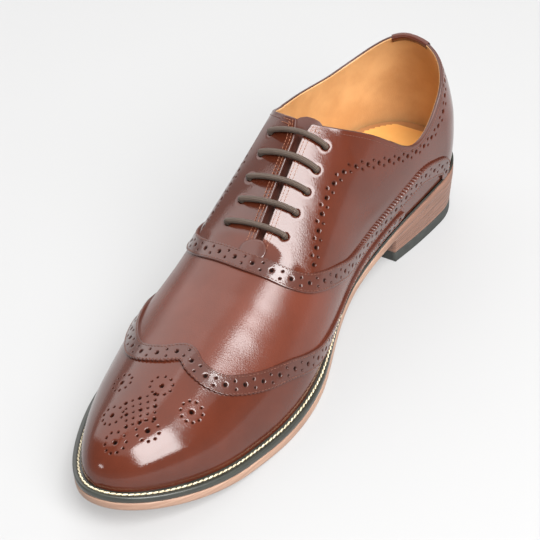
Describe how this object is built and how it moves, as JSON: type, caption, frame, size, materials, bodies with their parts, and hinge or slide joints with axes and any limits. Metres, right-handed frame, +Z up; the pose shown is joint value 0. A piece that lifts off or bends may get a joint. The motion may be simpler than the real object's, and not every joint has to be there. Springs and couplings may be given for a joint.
{
  "type": "shoe",
  "caption": "Right wing-tip brogue shoe: laced leather upper with perforated bands, welted sole, stacked heel",
  "frame": {"origin": "middle of the shoe's bounding box in plan, on the floor", "axes": "+X from heel to toe, +Y to the inner (big toe) side, +Z up; the shoe stands unbent on its heel and forefoot"},
  "size_m": [0.3032, 0.1008, 0.1035],
  "materials": {
    "upper_leather": "polished brown calf leather",
    "band_leather": "polished brown leather with punched holes",
    "tongue_leather": "brown leather",
    "insole_leather": "tan lining leather",
    "welt_leather": "dark dyed edge",
    "sole_leather": "natural brown edge",
    "heel_leather": "stacked leather lifts, streaked",
    "heel_rubber": "matt dark rubber",
    "lace_cotton": "waxed round cotton cord"
  },
  "bodies": {
    "root": {"outsole": "sole_leather", "welt": "welt_leather", "heel_stack": "heel_leather", "heel_top_piece": "heel_rubber", "insole": "insole_leather", "upper": "upper_leather", "wing_band": "band_leather", "quarter_band": "band_leather", "tongue": "tongue_leather", "lace": "lace_cotton"}
  },
  "joints": []
}
